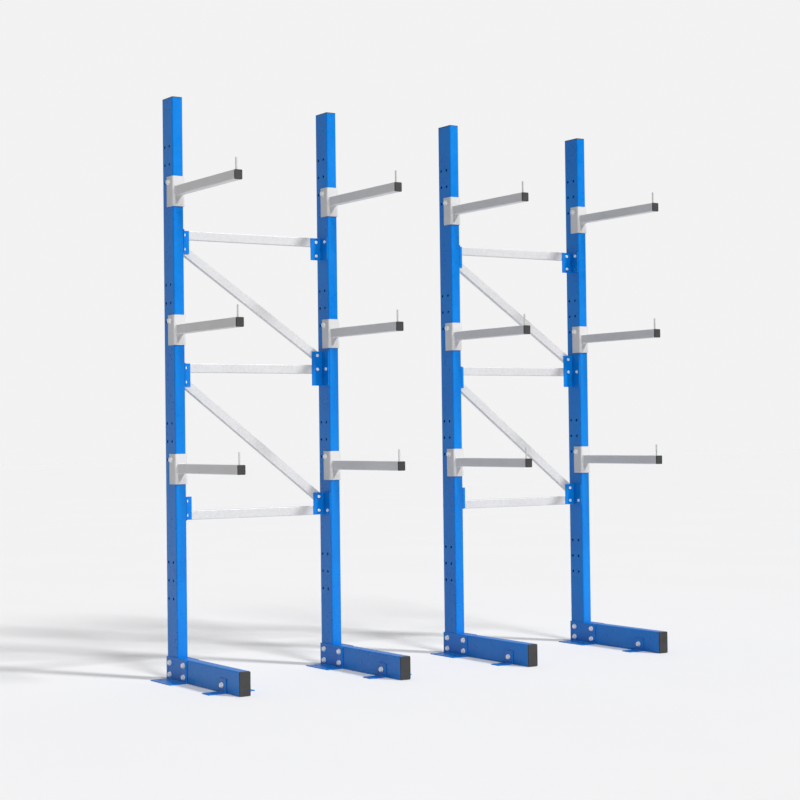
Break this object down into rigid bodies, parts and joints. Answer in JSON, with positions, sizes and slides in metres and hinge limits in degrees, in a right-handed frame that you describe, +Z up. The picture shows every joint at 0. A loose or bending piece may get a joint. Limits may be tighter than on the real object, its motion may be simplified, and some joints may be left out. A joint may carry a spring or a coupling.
{
  "type": "cantilever rack",
  "caption": "Free-standing single-sided cantilever rack for long goods: braced uprights, forward bases and bolted arms with lift-out stop pins.",
  "frame": {"origin": "on the floor, in the middle of the rack's footprint", "axes": "+X along the row of uprights, -Y the way the arms and bases point, +Z up"},
  "size_m": [2.43, 0.66, 2.504],
  "materials": {
    "blue_powder_coat": "satin blue powder coat",
    "grey_powder_coat": "satin light grey powder coat",
    "galvanised_steel": "bright galvanised sheet",
    "zinc_plate": "bright zinc plating",
    "pin_steel": "plain zinc plated round bar",
    "dark_plastic": "matt dark grey moulded plastic"
  },
  "bodies": {
    "frame": {"upright_1": "blue_powder_coat", "upright_2": "blue_powder_coat", "upright_3": "blue_powder_coat", "upright_4": "blue_powder_coat", "upright_caps": "dark_plastic", "base_1": "blue_powder_coat", "base_2": "blue_powder_coat", "base_3": "blue_powder_coat", "base_4": "blue_powder_coat", "base_caps": "dark_plastic", "rear_feet_1": "blue_powder_coat", "rear_feet_2": "blue_powder_coat", "rear_feet_3": "blue_powder_coat", "rear_feet_4": "blue_powder_coat", "front_feet": "blue_powder_coat", "arm_low_1": "grey_powder_coat", "arm_low_2": "grey_powder_coat", "arm_low_3": "grey_powder_coat", "arm_low_4": "grey_powder_coat", "arm_mid_1": "grey_powder_coat", "arm_mid_2": "grey_powder_coat", "arm_mid_3": "grey_powder_coat", "arm_mid_4": "grey_powder_coat", "arm_top_1": "grey_powder_coat", "arm_top_2": "grey_powder_coat", "arm_top_3": "grey_powder_coat", "arm_top_4": "grey_powder_coat", "arm_caps": "dark_plastic", "horizontal_brace_top_left": "galvanised_steel", "horizontal_brace_mid_left": "galvanised_steel", "horizontal_brace_bottom_left": "galvanised_steel", "diagonal_brace_upper_left": "galvanised_steel", "diagonal_brace_lower_left": "galvanised_steel", "horizontal_brace_top_right": "galvanised_steel", "horizontal_brace_mid_right": "galvanised_steel", "horizontal_brace_bottom_right": "galvanised_steel", "diagonal_brace_upper_right": "galvanised_steel", "diagonal_brace_lower_right": "galvanised_steel", "brace_brackets_1": "blue_powder_coat", "brace_brackets_2": "blue_powder_coat", "brace_brackets_3": "blue_powder_coat", "brace_brackets_4": "blue_powder_coat", "foot_bolts": "zinc_plate", "foot_nuts": "zinc_plate", "saddle_bolts": "zinc_plate", "saddle_nuts": "zinc_plate", "brace_bolts": "zinc_plate", "brace_nuts": "zinc_plate"},
    "pin_low_1": {"stop_pin_low_1": "pin_steel"},
    "pin_low_2": {"stop_pin_low_2": "pin_steel"},
    "pin_low_3": {"stop_pin_low_3": "pin_steel"},
    "pin_low_4": {"stop_pin_low_4": "pin_steel"},
    "pin_mid_1": {"stop_pin_mid_1": "pin_steel"},
    "pin_mid_2": {"stop_pin_mid_2": "pin_steel"},
    "pin_mid_3": {"stop_pin_mid_3": "pin_steel"},
    "pin_mid_4": {"stop_pin_mid_4": "pin_steel"},
    "pin_top_1": {"stop_pin_top_1": "pin_steel"},
    "pin_top_2": {"stop_pin_top_2": "pin_steel"},
    "pin_top_3": {"stop_pin_top_3": "pin_steel"},
    "pin_top_4": {"stop_pin_top_4": "pin_steel"}
  },
  "joints": [
    {"name": "lift_pin_low_1", "type": "slide", "parent": "frame", "child": "pin_low_1", "axis": [0, 0, 1], "range_m": [0, 0.06]},
    {"name": "lift_pin_low_2", "type": "slide", "parent": "frame", "child": "pin_low_2", "axis": [0, 0, 1], "range_m": [0, 0.06]},
    {"name": "lift_pin_low_3", "type": "slide", "parent": "frame", "child": "pin_low_3", "axis": [0, 0, 1], "range_m": [0, 0.06]},
    {"name": "lift_pin_low_4", "type": "slide", "parent": "frame", "child": "pin_low_4", "axis": [0, 0, 1], "range_m": [0, 0.06]},
    {"name": "lift_pin_mid_1", "type": "slide", "parent": "frame", "child": "pin_mid_1", "axis": [0, 0, 1], "range_m": [0, 0.06]},
    {"name": "lift_pin_mid_2", "type": "slide", "parent": "frame", "child": "pin_mid_2", "axis": [0, 0, 1], "range_m": [0, 0.06]},
    {"name": "lift_pin_mid_3", "type": "slide", "parent": "frame", "child": "pin_mid_3", "axis": [0, 0, 1], "range_m": [0, 0.06]},
    {"name": "lift_pin_mid_4", "type": "slide", "parent": "frame", "child": "pin_mid_4", "axis": [0, 0, 1], "range_m": [0, 0.06]},
    {"name": "lift_pin_top_1", "type": "slide", "parent": "frame", "child": "pin_top_1", "axis": [0, 0, 1], "range_m": [0, 0.06]},
    {"name": "lift_pin_top_2", "type": "slide", "parent": "frame", "child": "pin_top_2", "axis": [0, 0, 1], "range_m": [0, 0.06]},
    {"name": "lift_pin_top_3", "type": "slide", "parent": "frame", "child": "pin_top_3", "axis": [0, 0, 1], "range_m": [0, 0.06]},
    {"name": "lift_pin_top_4", "type": "slide", "parent": "frame", "child": "pin_top_4", "axis": [0, 0, 1], "range_m": [0, 0.06]}
  ]
}
